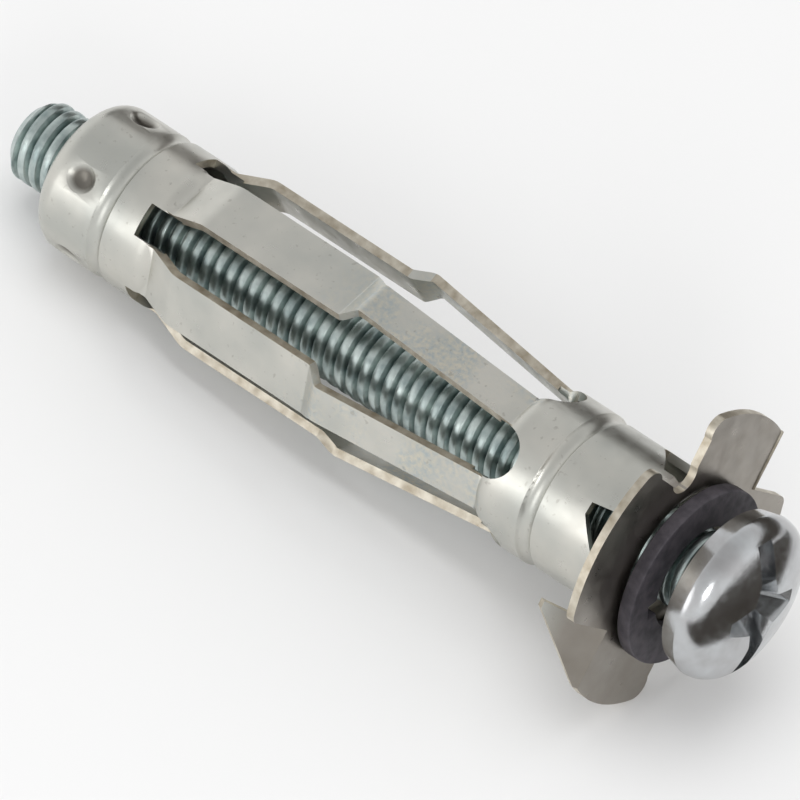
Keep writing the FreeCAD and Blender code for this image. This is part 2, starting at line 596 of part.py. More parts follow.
# Washer: it hangs on the thread by its hole, close to the flange.
washer = new_body("fibre_washer")
HANG = "(washer_bore - thread_radius - washer_slack)"
washer_plan = new_sketch(washer, "washer_plan", "YZ_Plane", FreeCAD.Placement(
    FreeCAD.Vector(0, 0, value(WASHER_BACK)), FreeCAD.Rotation()))
round_hole(washer_plan, "0", f"-{HANG}", "washer_radius")
round_hole(washer_plan, "0", f"-{HANG}", "washer_bore")
disc = pad(washer, "disc", washer_plan, "washer_thickness")
notch_plan = new_sketch(washer, "notch_plan", "YZ_Plane", FreeCAD.Placement(
    FreeCAD.Vector(0, 0, value(WASHER_BACK) - 1), FreeCAD.Rotation()))
NOTCH_Y = "(washer_bore + notch_depth)"
outline(notch_plan, [
    (f"-{NOTCH_Y}", f"-{HANG} - notch_width / 2"),
    (NOTCH_Y, f"-{HANG} - notch_width / 2"),
    (NOTCH_Y, f"-{HANG} + notch_width / 2"),
    (f"-{NOTCH_Y}", f"-{HANG} + notch_width / 2"),
])
pocket(washer, "notches", notch_plan, "washer_thickness + 2", reversed_=True)

doc.recompute()
for item in doc.Objects:
    if "Invalid" in item.State or "Error" in item.State:
        raise RuntimeError(f"{item.Name}: {item.State}")

os.makedirs("parts", exist_ok=True)
for node in (sleeve, nut, screw, washer):
    shape = node.Shape
    if shape.isNull() or not shape.isValid() or len(shape.Solids) != 1:
        raise RuntimeError(f"{node.Label} is not one sound solid")
    print(node.Label, "volume", round(shape.Volume, 2))
    shape.exportStep(f"parts/{node.Label}.step")
print("tilt in degrees", value(TILT))
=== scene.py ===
# %% [markdown]
# # Dressing a metal cavity fixing
#
# The frame holds four solids: a pressed sleeve of zinc plated sheet with five legs, a round nut inside its
# rear collar, a pan head screw and a dark washer. The solids have the right size and place, but their edges
# are sharp and the screw has no thread. Here the sleeve's edges are broken, the screw gets its thread, its
# cross recess and a slot across it, the washer gets soft edges, and every surface gets a finish. Lengths are
# in metres.

# %% The frame
import json
import math
import bpy
import bmesh
from mathutils import Matrix, Vector
from mathutils.bvhtree import BVHTree


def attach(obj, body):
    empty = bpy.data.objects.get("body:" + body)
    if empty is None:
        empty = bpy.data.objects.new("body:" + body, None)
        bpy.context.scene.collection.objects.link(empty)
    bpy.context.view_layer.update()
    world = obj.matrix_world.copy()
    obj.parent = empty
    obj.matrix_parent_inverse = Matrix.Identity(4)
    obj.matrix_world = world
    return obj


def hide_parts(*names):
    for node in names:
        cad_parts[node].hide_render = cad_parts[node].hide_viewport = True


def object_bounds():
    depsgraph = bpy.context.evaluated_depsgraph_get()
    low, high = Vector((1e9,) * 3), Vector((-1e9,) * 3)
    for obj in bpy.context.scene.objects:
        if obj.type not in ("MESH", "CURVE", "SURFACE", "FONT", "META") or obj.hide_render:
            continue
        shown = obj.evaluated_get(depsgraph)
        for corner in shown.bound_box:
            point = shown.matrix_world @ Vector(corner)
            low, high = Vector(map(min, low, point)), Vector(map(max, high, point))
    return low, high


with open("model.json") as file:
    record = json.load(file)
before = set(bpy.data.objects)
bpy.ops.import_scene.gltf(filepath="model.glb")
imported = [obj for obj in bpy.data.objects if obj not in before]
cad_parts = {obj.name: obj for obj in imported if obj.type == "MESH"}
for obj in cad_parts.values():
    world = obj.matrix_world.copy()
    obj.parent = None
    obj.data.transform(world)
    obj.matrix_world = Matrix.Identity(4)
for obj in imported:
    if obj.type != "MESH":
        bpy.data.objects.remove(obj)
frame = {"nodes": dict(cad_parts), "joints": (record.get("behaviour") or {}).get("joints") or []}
start_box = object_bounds()
nodes = frame["nodes"]
scene = bpy.context.scene
MM = 0.001
print("frame:", sorted(nodes), "box in mm:", [round(v / MM, 1) for v in start_box[1] - start_box[0]])

# %% [markdown]
# ## The screw's axis
#
# The fixing lies on its flange and its rear collar, so the screw's axis climbs a little towards the head. The
# first joint turns about that axis. Pieces are modelled along X, with the flange's back at zero, and turned
# into place. Where the screw's tip is, and the thread's radius, are read from the screw's own node.

# %% The screw's axis
AXIS = Vector(frame["joints"][0]["axis"]).normalized()
LAY = Matrix.Rotation(-math.atan2(AXIS.z, AXIS.x), 4, "Y")
STAND = LAY.inverted()
screw_places = [STAND @ v.co for v in nodes["pan_head_screw"].data.vertices]
TIP = min(p.x for p in screw_places)
THREAD_RADIUS = max(math.hypot(p.y, p.z) for p in screw_places if p.x < 0)
print("tip", round(TIP / MM, 2), "thread radius", round(THREAD_RADIUS / MM, 2))

# %% [markdown]
# ## Helpers
#
# A piece is a mesh object at the origin that rides on one body of the frame and takes its finish from one
# material. Broken edges come from bmesh's bevel, which needs the edges chosen by their angle.

# %% Helpers for pieces
MERGE = 0.001 * MM
NO_LENGTH = 0.00001 * MM


def new_piece(name, mesh, body, replaced):
    """An object for a mesh, tied to the frame."""
    piece = bpy.data.objects.new(name, mesh)
    scene.collection.objects.link(piece)
    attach(piece, body)
    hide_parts(replaced)
    return piece


def shade(piece, sharp_degrees):
    """Smooth shading: edges steeper than this stay sharp, and elsewhere large faces decide the normals."""
    for face in piece.data.polygons:
        face.use_smooth = True
    piece.data.set_sharp_from_angle(angle=math.radians(sharp_degrees))
    weigh = piece.modifiers.new("weigh_normals", "WEIGHTED_NORMAL")
    weigh.keep_sharp = True


def break_edges(bm, width, least_degrees, segments):
    """Bevel every edge that turns by more than an angle."""
    sharp = [e for e in bm.edges if len(e.link_faces) == 2
             and e.calc_face_angle(0) > math.radians(least_degrees)]
    bmesh.ops.bevel(bm, geom=sharp, offset=width, offset_type="OFFSET", segments=segments, profile=0.5,
                    affect="EDGES", clamp_overlap=True, material=-1)
    return len(sharp)


def into_mesh(bm, name):
    """The finished mesh of a shape modelled along X, lying as the fixing lies."""
    bmesh.ops.transform(bm, matrix=LAY, verts=bm.verts)
    bmesh.ops.recalc_face_normals(bm, faces=bm.faces)
    mesh = bpy.data.meshes.new(name)
    bm.to_mesh(mesh)
    bm.free()
    return mesh


def turned(bm, profile, steps):
    """Spin an outline of (along, radius) corners round the axis; both its ends lie on the axis."""
    chain = [bm.verts.new((x, 0, r)) for x, r in profile]
    edges = [bm.edges.new(pair) for pair in zip(chain, chain[1:])]
    bmesh.ops.spin(bm, geom=chain + edges, cent=(0, 0, 0), axis=(1, 0, 0), angle=math.tau,
                   steps=steps, use_merge=True)
    bmesh.ops.remove_doubles(bm, verts=bm.verts, dist=MERGE)


print("helpers ready, the axis climbs", round(math.degrees(math.atan2(AXIS.z, AXIS.x)), 2), "degrees")

# %% [markdown]
# ## The screw's thread
#
# A metric thread of 1 mm pitch runs along the whole shank. One line that follows the thread's teeth along the
# rod is spun round the axis, and moves on by one pitch in a full turn: then its end falls on its start, one
# tooth further on, and the skin is a true helix. What goes past the rod's ends is pulled back to them.

# %% The thread
PITCH = 1.0 * MM
THREAD_DEPTH = 0.46 * MM
ROUND = 72
TIP_CHAMFER = 0.75 * MM
# One tooth: how far along the pitch, and which share of the thread's depth below the crest.
TOOTH = [(0.0, 0.12), (0.08, 0.03), (0.20, 0.0), (0.34, 0.0), (0.46, 0.03), (0.54, 0.12), (0.67, 0.6),
         (0.74, 1.0), (0.80, 1.0), (0.87, 0.6)]


def threaded_rod(bm, start, end):
    """A rod with the thread on it, chamfered at its start and open at both ends."""
    teeth = math.ceil((end - start) / PITCH) + 2
    chain = [bm.verts.new((start + PITCH * (tooth - 1 + share), 0, THREAD_RADIUS - THREAD_DEPTH * depth))
             for tooth in range(teeth) for share, depth in TOOTH]
    edges = [bm.edges.new(pair) for pair in zip(chain, chain[1:])]
    bmesh.ops.spin(bm, geom=chain + edges, cent=(0, 0, 0), axis=(1, 0, 0), dvec=(PITCH / ROUND, 0, 0),
                   angle=math.tau, steps=ROUND)
    for vert in bm.verts:
        radius = math.hypot(vert.co.y, vert.co.z)
        allowed = THREAD_RADIUS - TIP_CHAMFER + max(vert.co.x - start, 0)
        if vert.co.x > end:
            allowed = THREAD_RADIUS - THREAD_DEPTH
        vert.co.yz = vert.co.yz * min(1, allowed / radius)
        vert.co.x = min(max(vert.co.x, start), end)
    bmesh.ops.remove_doubles(bm, verts=bm.verts, dist=MERGE)
    bmesh.ops.dissolve_degenerate(bm, edges=bm.edges, dist=NO_LENGTH)


print("thread of", round(PITCH / MM, 2), "mm pitch,", round(THREAD_DEPTH / MM, 2), "mm deep")

# %% [markdown]
# ## The screw's head
#
# The pan head is cold headed: a flat seat, a short rim, a rounded edge and a shallow dome. It is turned with
# the same number of steps as the thread, so that its first ring falls on the rod's last one and the screw is
# one closed skin.

# %% The head
SEAT = 4.0 * MM
CROWN = 7.955 * MM
# Corners of the seat and the rim, as (along, radius) in millimetres.
RIM = [(4.0, 5.6), (4.08, 5.72), (5.25, 6.0)]
EDGE_CENTRE, EDGE_ROUND = (5.25, 4.2), 1.8
DOME_ROUND = 12.0
DOME_CENTRE = (CROWN / MM - DOME_ROUND, 0)
# The edge's round runs into the dome where both turn by this angle from the axis.
DOME_HALF = 24.3


def arc(centre, radius, first_degrees, last_degrees, count):
    """Corners along an arc after its first end, as (along, radius) pairs in millimetres."""
    angles = [math.radians(first_degrees + (last_degrees - first_degrees) * k / count)
              for k in range(1, count + 1)]
    return [(centre[0] + radius * math.cos(a), centre[1] + radius * math.sin(a)) for a in angles]


def head_profile():
    """The head's outline from the rod's last ring to the middle of the dome."""
    corners = [(SEAT / MM, (THREAD_RADIUS - THREAD_DEPTH) / MM)] + RIM
    corners += arc(EDGE_CENTRE, EDGE_ROUND, 90, DOME_HALF, 10)
    corners += arc(DOME_CENTRE, DOME_ROUND, DOME_HALF, 0, 14)[:-1]
    return [(x * MM, r * MM) for x, r in corners] + [(CROWN, 0)]


def plain_screw():
    """The threaded rod and the head as one closed skin, before the recess is punched."""
    bm = bmesh.new()
    threaded_rod(bm, TIP, SEAT)
    turned(bm, head_profile(), ROUND)
    bmesh.ops.remove_doubles(bm, verts=bm.verts, dist=MERGE)
    bmesh.ops.holes_fill(bm, edges=[e for e in bm.edges if e.is_boundary], sides=0)
    bmesh.ops.recalc_face_normals(bm, faces=bm.faces)
    print("screw:", len(bm.faces), "faces, open edges:", sum(e.is_boundary for e in bm.edges))
    return bm


plain = plain_screw()

# %% [markdown]
# ## The cross recess and its slot
#
# The driver's cross is punched into the head, with wings that narrow towards its floor. In the photograph one
# pair of wings runs on almost to the head's edge, as on screws that also take a flat driver, so a shallow slot
# crosses the recess. Each cutter starts as a flat face, which is pushed down and drawn in. A Boolean takes it
# out of the head, and the result is read back as a plain mesh.

# %% The recess
WING_REACH = 3.4 * MM
WING_HALF = 0.575 * MM
CORE_REACH = 1.2 * MM
RECESS_DEPTH = 2.3 * MM
RECESS_TAPER = 0.45
RECESS_TURN = math.radians(-10)
SLOT_REACH = 5.45 * MM
SLOT_HALF = 0.72 * MM
SLOT_DEPTH = 1.75 * MM
SLOT_TAPER = 0.94


def cutter(name, corners, depth, taper):
    """A tapered plug with this outline at the crown's height, which reaches down into the head."""
    bm = bmesh.new()
    # It starts as far above the crown as it ends below it, and widens upwards as much as it narrows downwards.
    top = bm.faces.new([bm.verts.new((CROWN + depth, u, v)) for u, v in corners])
    spread = 2 - taper
    bmesh.ops.scale(bm, vec=(1, spread, spread), verts=bm.verts)
    floor = bmesh.ops.extrude_face_region(bm, geom=[top])["geom"]
    floor = [v for v in floor if isinstance(v, bmesh.types.BMVert)]
    bmesh.ops.translate(bm, vec=(-2 * depth, 0, 0), verts=floor)
    bmesh.ops.scale(bm, vec=(1, taper / spread, taper / spread), verts=floor)
    bmesh.ops.rotate(bm, cent=(0, 0, 0), matrix=Matrix.Rotation(RECESS_TURN, 3, "X"), verts=bm.verts)
    bmesh.ops.recalc_face_normals(bm, faces=bm.faces)
    mesh = bpy.data.meshes.new(name)
    bm.to_mesh(mesh)
    bm.free()
    return mesh


def cross_corners():
    """The cross: the two ends of each wing, then the inner corner after it."""
    corners = []
    for a, b in ((1, 0), (0, 1), (-1, 0), (0, -1)):
        for side in (-1, 1):
            corners.append((WING_REACH * a - WING_HALF * side * b, WING_REACH * b + WING_HALF * side * a))
        corners.append((CORE_REACH * (a - b), CORE_REACH * (a + b)))
    return corners


def slot_corners():
    """The slot: a long narrow rectangle along one pair of wings."""
    return [(SLOT_HALF * a, SLOT_REACH * b) for a, b in ((1, -1), (1, 1), (-1, 1), (-1, -1))]


def cut_out(bm, cutter_mesh):
    """Take a cutter out of a shape, and give the rest back as a new bmesh."""
    whole = bpy.data.objects.new("whole", bpy.data.meshes.new("whole"))
    plug = bpy.data.objects.new("plug", cutter_mesh)
    bm.to_mesh(whole.data)
    bm.free()
    for helper in (whole, plug):
        scene.collection.objects.link(helper)
    cut = whole.modifiers.new("cut", "BOOLEAN")
    cut.operation = "DIFFERENCE"
    cut.solver = "EXACT"
    cut.object = plug
    bpy.context.view_layer.update()
    rest = bmesh.new()
    rest.from_mesh(whole.evaluated_get(bpy.context.evaluated_depsgraph_get()).data)
    for helper in (whole, plug):
        helper_mesh = helper.data
        bpy.data.objects.remove(helper)
        bpy.data.meshes.remove(helper_mesh)
    return rest


def make_screw(bm):
    """The finished screw, with its recess."""
    bm = cut_out(bm, cutter("cross", cross_corners(), RECESS_DEPTH, RECESS_TAPER))
    bm = cut_out(bm, cutter("slot", slot_corners(), SLOT_DEPTH, SLOT_TAPER))
    bmesh.ops.remove_doubles(bm, verts=bm.verts, dist=MERGE)
    mesh = into_mesh(bm, "cut_screw")
    screw = new_piece("cross_head_screw", mesh, "screw", "pan_head_screw")
    shade(screw, 28)
    print("cut screw:", len(mesh.polygons), "faces")
    return screw


screw = make_screw(plain)

# %% [markdown]
# ## The washer
#
# The washer is punched from dark fibre, so its edges are a little soft, and its hole has two small notches
# that keep it from slipping off the thread. It hangs on the thread, below the screw's axis. Its node has the
# right outline, so a merged copy of that node only gets its edges broken.

# %% The washer
WASHER_SOFT = 0.13 * MM


def softened_copy(node, width, least_degrees, segments):
    """A merged copy of a node with its flat faces joined and its sharp edges bevelled."""
    bm = bmesh.new()
    bm.from_mesh(nodes[node].data)
    bmesh.ops.remove_doubles(bm, verts=bm.verts, dist=2 * MERGE)
    bmesh.ops.dissolve_limit(bm, angle_limit=math.radians(1), verts=bm.verts, edges=bm.edges)
    count = break_edges(bm, width, least_degrees, segments)
    mesh = bpy.data.meshes.new("softened_" + node)
    bm.to_mesh(mesh)
    bm.free()
    print(node, "bevelled edges:", count, "faces:", len(mesh.polygons))
    return mesh


def make_washer():
    """The washer with its soft edges."""
    mesh = softened_copy("fibre_washer", WASHER_SOFT, least_degrees=50, segments=3)
    washer = new_piece("notched_washer", mesh, "washer", "fibre_washer")
    shade(washer, 40)
    return washer


washer = make_washer()

# %% [markdown]
# ## The sleeve
#
# The sleeve is one strip of sheet, blanked, rolled and pressed. Blanking rounds the sheet's edges a little,
# and that thin bright line is what shows the sheet's thickness. A merged copy of the node gets those edges
# bevelled. Where a press sheared the sheet, its edge is rougher and warmer than its face: a ray sent into the
# sheet from the middle of each face's largest triangle measures how much metal is behind it, and a face with
# over two thicknesses behind it is a sheared edge. The answer is kept as an attribute for the zinc to read.

# %% The sleeve
SHEET = 0.6 * MM
SHEET_BREAK = 0.05 * MM
SHEARED_DEPTH = 2.2 * SHEET
JUST_INSIDE = 0.01 * MM


def mark_sheared(mesh):
    """Write 1 on the faces that are sheared edges of the sheet, 0 on the sheet's own faces."""
    mesh.calc_loop_triangles()
    largest = {}
    for triangle in mesh.loop_triangles:
        best = largest.get(triangle.polygon_index)
        if best is None or triangle.area > best.area:
            largest[triangle.polygon_index] = triangle
    tree = BVHTree.FromPolygons([v.co for v in mesh.vertices],
                                [t.vertices[:] for t in mesh.loop_triangles])
    marks = mesh.attributes.new("sheared", "FLOAT", "FACE")
    count = 0
    for index, triangle in largest.items():
        inside = sum((mesh.vertices[v].co for v in triangle.vertices), Vector()) / 3
        behind = tree.ray_cast(inside - triangle.normal * JUST_INSIDE, -triangle.normal)[3]
        deep = behind is None or behind > SHEARED_DEPTH
        marks.data[index].value = 1.0 if deep else 0.0
        count += deep
    print("sheared faces:", count, "of", len(mesh.polygons))


def make_sleeve():
    """The sleeve with broken and marked edges."""
    mesh = softened_copy("anchor_sleeve", SHEET_BREAK, least_degrees=40, segments=1)
    mark_sheared(mesh)
    sleeve = new_piece("pressed_sleeve", mesh, "sleeve_with_nut", "anchor_sleeve")
    shade(sleeve, 32)
    return sleeve


sleeve = make_sleeve()

# %% [markdown]
# ## Colours and nodes
#
# Colours are written as on a web page, and one function turns them into the linear values that the nodes
# need. Another adds a node, sets it and links it. Every pattern reads the object's own coordinates, in metres,
# so a noise's scale is one over the size of its blotches.

# %% Colours and nodes
def linear(colour):
    """An sRGB hex colour as linear RGBA."""
    parts = [int(colour[k:k + 2], 16) / 255 for k in (1, 3, 5)]
    return [c / 12.92 if c <= 0.04045 else ((c + 0.055) / 1.055) ** 2.4 for c in parts] + [1.0]


def add(tree, kind, *values, inputs=(), stops=(), **settings):
    """Add a node. Settings are its properties. Values fill its live inputs in order, inputs fill them by name,
    and each is a value, a socket or a node, whose first live output is taken. Stops are a ramp's colours."""
    node = tree.nodes.new("ShaderNode" + kind)
    for name, setting in settings.items():
        setattr(node, name, setting)
    live = [socket for socket in node.inputs if socket.enabled]
    named = [(node.inputs[name], value) for name, value in dict(inputs).items()]
    for socket, value in list(zip(live, values)) + named:
        if isinstance(value, bpy.types.Node):
            value = next(output for output in value.outputs if output.enabled)
        if isinstance(value, bpy.types.NodeSocket):
            tree.links.new(value, socket)
        else:
            socket.default_value = value
    for element, (position, colour) in zip(node.color_ramp.elements if stops else (), stops):
        element.position = position
        element.color = linear(colour)
    return node


def new_material(name):
    """A material with an empty tree, and where each point of the object is."""
    material = bpy.data.materials.new(name)
    material.use_nodes = True
    material.node_tree.nodes.clear()
    return material, material.node_tree, add(material.node_tree, "TexCoord").outputs["Object"]


print("bright zinc in linear values:", [round(v, 3) for v in linear("#C8C8C4")[:3]])

# %% [markdown]
# ## Zinc plated sheet
#
# Cold rolled steel, pressed and then plated with bright zinc a few thousandths of a millimetre thick. The eye
# sees a light silvery grey, satin on the drawn faces and mottled where the press rubbed the front halves of
# the legs. Sheared edges are warmer. The flange's front is painted darker and browner than the rest, as
# painted shade standing in for the shaded floor and dark washer that it mirrors. The punched dents are painted
# dark, as painted shade in their hollows. Where these are is told by the distance along the screw's axis and
# away from it.

# %% Zinc plated sheet
DENT_MIDDLE = -48.35 * MM
DENT_REAR, DENT_FRONT = DENT_MIDDLE - 1.2 * MM, DENT_MIDDLE + 1.2 * MM
DENT_RIM = 5.3 * MM
RUBBED_REAR, RUBBED_FRONT = -23 * MM, -13 * MM
FLANGE_BACK = -0.9 * MM


def zinc_sheet():
    """Satin zinc: Blender's default metal IOR, and a roughness matched to the photograph."""
    material, tree, place = new_material("satin_zinc_plated_sheet")
    along = add(tree, "VectorMath", place, AXIS, operation="DOT_PRODUCT")
    across = add(tree, "VectorMath", place, AXIS, operation="CROSS_PRODUCT")
    away = add(tree, "VectorMath", across, operation="LENGTH")
    # Clouds of a slightly warmer and cooler plating, 6 mm across.
    cloud = add(tree, "TexNoise", place, 1 / (6 * MM), 3)
    face = add(tree, "ValToRGB", cloud, stops=((0.35, "#BDBEB8"), (0.65, "#D3D1C9")))
    # Zinc crystals of 0.3 mm, in patches on the rubbed front halves of the legs.
    crystals = add(tree, "TexNoise", place, 1 / (0.32 * MM), 4)
    mottled = add(tree, "ValToRGB", crystals, stops=((0.34, "#A6B4BA"), (0.66, "#D8D1BE")))
    rubbed = add(tree, "Math", add(tree, "MapRange", along, RUBBED_REAR - 7 * MM, RUBBED_REAR, 0, 1),
                 add(tree, "MapRange", along, RUBBED_FRONT, RUBBED_FRONT + 2 * MM, 1, 0), operation="MULTIPLY")
    patches = add(tree, "MapRange", add(tree, "TexNoise", place, 1 / (3.5 * MM), 2), 0.42, 0.6, 0.05, 0.6)
    patches = add(tree, "Math", rubbed, patches, operation="MULTIPLY")
    face = add(tree, "Mix", patches, face, mottled, data_type="RGBA")
    # Specks of dirt, drawn as coarse as they need to show.
    specks = add(tree, "MapRange", add(tree, "TexNoise", place, 1 / (0.45 * MM), 2), 0.66, 0.74, 0, 0.35)
    face = add(tree, "Mix", specks, face, linear("#8F8B82"), data_type="RGBA")
    # Painted shade in the dents: where they lie below the collar's skin, in a short stretch of it, the colour
    # is darkened.
    painted_dent_shade = add(tree, "Math", add(tree, "MapRange", along, DENT_REAR, DENT_REAR + 0.3 * MM, 0, 1),
                  add(tree, "MapRange", along, DENT_FRONT - 0.3 * MM, DENT_FRONT, 1, 0), operation="MULTIPLY")
    below_skin = add(tree, "MapRange", away, DENT_RIM - 0.25 * MM, DENT_RIM, 0.85, 0)
    painted_dent_shade = add(tree, "Math", painted_dent_shade, below_skin, operation="MULTIPLY")
    face = add(tree, "Mix", painted_dent_shade, face, linear("#5A554E"), data_type="RGBA")
    # Painted shade on the flange: its front is darkened and browned, standing in for the shaded floor and dark
    # washer that it mirrors.
    painted_flange_shade = add(tree, "MapRange", along, FLANGE_BACK - 1.3 * MM, FLANGE_BACK, 0, 1)
    flange_shade_colour = add(tree, "ValToRGB", add(tree, "TexNoise", place, 1 / (3 * MM), 3),
               stops=((0.25, "#969087"), (0.75, "#A5A099")))
    face = add(tree, "Mix", painted_flange_shade, face, flange_shade_colour, data_type="RGBA")
    # The sheared edges.
    sheared = add(tree, "Attribute", attribute_name="sheared").outputs["Fac"]
    edge = add(tree, "ValToRGB", add(tree, "TexNoise", place, 1 / (0.9 * MM), 4),
               stops=((0.3, "#A69C8A"), (0.68, "#D2CCBE")))
    colour = add(tree, "Mix", sheared, face, edge, data_type="RGBA")
    rough = add(tree, "MapRange", add(tree, "TexNoise", place, 1 / (1.1 * MM), 4), 0.3, 0.7, 0.27, 0.40)
    rough = add(tree, "Math", rough, add(tree, "MapRange", sheared, 0, 1, 0, 0.1), operation="ADD")
    # The drawn faces are never quite flat, and the crystals stand out by a hair.
    wavy = add(tree, "Bump", inputs={"Height": add(tree, "TexNoise", place, 1 / (2.6 * MM), 2),
                                     "Distance": 0.06 * MM, "Strength": 0.45})
    relief = add(tree, "Math", crystals, rubbed, operation="MULTIPLY")
    relief = add(tree, "Bump", inputs={"Height": relief, "Distance": 0.02 * MM, "Strength": 0.6,
                                       "Normal": wavy})
    shader = add(tree, "BsdfPrincipled", inputs={"Base Color": colour, "Metallic": 1.0, "Roughness": rough,
                                                 "Normal": relief})
    add(tree, "OutputMaterial", shader)
    return material


zinc = zinc_sheet()
print("made", zinc.name, "with", len(zinc.node_tree.nodes), "nodes")

# %% [markdown]
# ## Screw and nut
#
# Both are steel with a bright plating. The head is smooth and nearly mirrors the room, with fine pits from the
# die. The thread was rolled: it is rougher and has fine lines round it, and its colour is painted darker and
# bluer, as a painted reflection of its flanks mirroring each other. The nut was turned, so its lines run round
# the axis too.

# %% Screw and nut
HEAD_START = 3.9 * MM


def screw_steel():
    """Bright zinc: a mirror on the head, rougher on the thread."""
    material, tree, place = new_material("bright_zinc_plated_screw_steel")
    along = add(tree, "VectorMath", place, AXIS, operation="DOT_PRODUCT")
    on_head = add(tree, "MapRange", along, HEAD_START - 0.5 * MM, HEAD_START, 0, 1)
    # The thread's darker, bluer colour is painted reflection of its flanks mirroring each other.
    thread = add(tree, "ValToRGB", add(tree, "TexNoise", place, 1 / (1.2 * MM), 3),
                 stops=((0.35, "#94A2A1"), (0.65, "#C0CBC8")))
    head = add(tree, "ValToRGB", add(tree, "TexNoise", place, 1 / (2.2 * MM), 3),
               stops=((0.35, "#B4B4B5"), (0.65, "#C6C9CB")))
    colour = add(tree, "Mix", on_head, thread, head, data_type="RGBA")
    rough = add(tree, "MapRange", add(tree, "TexNoise", place, 1 / (0.5 * MM), 4), 0.3, 0.7, 0.14, 0.24)
    rough = add(tree, "Math", rough, add(tree, "MapRange", on_head, 0, 1, 0.15, 0), operation="ADD")
    wavy = add(tree, "Bump", inputs={"Height": add(tree, "TexNoise", place, 1 / (1.4 * MM), 2),
                                     "Distance": 0.02 * MM, "Strength": 0.4})
    pits = add(tree, "Bump", inputs={"Height": add(tree, "TexNoise", place, 1 / (0.14 * MM), 3),
                                     "Distance": 0.006 * MM, "Strength": 0.5, "Normal": wavy})
    # Lines of 0.12 mm round the thread: the noise is squeezed along the axis and stretched across it.
    squeezed = add(tree, "Mapping", inputs={"Vector": place, "Scale": (4, 0.5, 0.5)})
    lines = add(tree, "Math", add(tree, "TexNoise", squeezed, 1 / (0.5 * MM), 3),
                add(tree, "MapRange", on_head, 0, 1, 1, 0), operation="MULTIPLY")
    lines = add(tree, "Bump", inputs={"Height": lines, "Distance": 0.04 * MM, "Strength": 0.7, "Normal": pits})
    shader = add(tree, "BsdfPrincipled", inputs={"Base Color": colour, "Metallic": 1.0, "Roughness": rough,
                                                 "Normal": lines})
    add(tree, "OutputMaterial", shader)
    return material


def nut_steel():
    """Turned steel under a thin plating, duller than the screw."""
    material, tree, place = new_material("turned_nut_steel")
    colour = add(tree, "ValToRGB", add(tree, "TexNoise", place, 1 / (1.0 * MM), 3),
                 stops=((0.35, "#8E908E"), (0.65, "#B2B2AE")))
    squeezed = add(tree, "Mapping", inputs={"Vector": place, "Scale": (6, 1, 1)})
    rough = add(tree, "MapRange", add(tree, "TexNoise", squeezed, 1 / (0.4 * MM), 3), 0.3, 0.7, 0.3, 0.45)
    lines = add(tree, "Bump", inputs={"Height": add(tree, "TexNoise", squeezed, 1 / (0.3 * MM), 3),
                                      "Distance": 0.01 * MM, "Strength": 0.4})
    shader = add(tree, "BsdfPrincipled", inputs={"Base Color": colour, "Metallic": 1.0, "Roughness": rough,
                                                 "Normal": lines})
    add(tree, "OutputMaterial", shader)
    return material


bright, turned_steel = screw_steel(), nut_steel()
print("made", bright.name, "and", turned_steel.name)

# %% [markdown]
# ## Vulcanised fibre
#
# The washer is pressed from layers of paper fibre dyed nearly black. It is dull, a little purple, and has a
# fine fibrous grain. It isn't metal, so its IOR of 1.5 is that of most hard plastics and fibres.

# %% Vulcanised fibre
def dark_fibre():
    """Dull dark fibre with a grain of 0.35 mm."""
    material, tree, place = new_material("dark_vulcanised_fibre")
    colour = add(tree, "ValToRGB", add(tree, "TexNoise", place, 1 / (0.9 * MM), 4),
                 stops=((0.35, "#38353A"), (0.65, "#4B474C")))
    rough = add(tree, "MapRange", add(tree, "TexNoise", place, 1 / (0.6 * MM), 3), 0.3, 0.7, 0.5, 0.68)
    squeezed = add(tree, "Mapping", inputs={"Vector": place, "Scale": (1, 2.5, 1)})
    fibres = add(tree, "Bump", inputs={"Height": add(tree, "TexNoise", squeezed, 1 / (0.35 * MM), 4),
                                       "Distance": 0.02 * MM, "Strength": 0.5})
    nap = add(tree, "Bump", inputs={"Height": add(tree, "TexNoise", place, 1 / (0.12 * MM), 2),
                                    "Distance": 0.008 * MM, "Strength": 0.4, "Normal": fibres})
    shader = add(tree, "BsdfPrincipled", inputs={"Base Color": colour, "IOR": 1.5, "Specular IOR Level": 0.3,
                                                 "Roughness": rough, "Normal": nap})
    add(tree, "OutputMaterial", shader)
    return material


fibre = dark_fibre()
print("made", fibre.name)

# %% [markdown]
# ## Dressing the pieces
#
# Each new piece is of one material. The nut's node stays as it came from the frame, and only gets a material
# in each of its slots.

# %% Dressing the pieces
for piece, material in ((sleeve, zinc), (screw, bright), (washer, fibre)):
    piece.data.materials.clear()
    piece.data.materials.append(material)
nut = nodes["threaded_nut"]
for index in range(len(nut.data.materials)):
    nut.data.materials[index] = turned_steel
print("dressed", [piece.name for piece in (sleeve, nut, screw, washer)])

# %% [markdown]
# ## Floor and boards
#
# The photograph has a white ground. A pale floor keeps the soft shadow. Bright metal has no shape unless it
# has something dark to show, so one dark board stands behind, which darkens the collars' tops, and one lies on
# the right, outside the picture, which darkens the head's dome. Only the metal sees the boards. Their sizes
# and places are in metres.

# %% Floor and boards
FLOOR_SIDE = 1.2
FLOOR_LEVEL = start_box[0].z - 0.02 * MM
BOARD_LEVEL = FLOOR_LEVEL + 0.07 * MM
BOARD_COLOUR = "#3B352E"


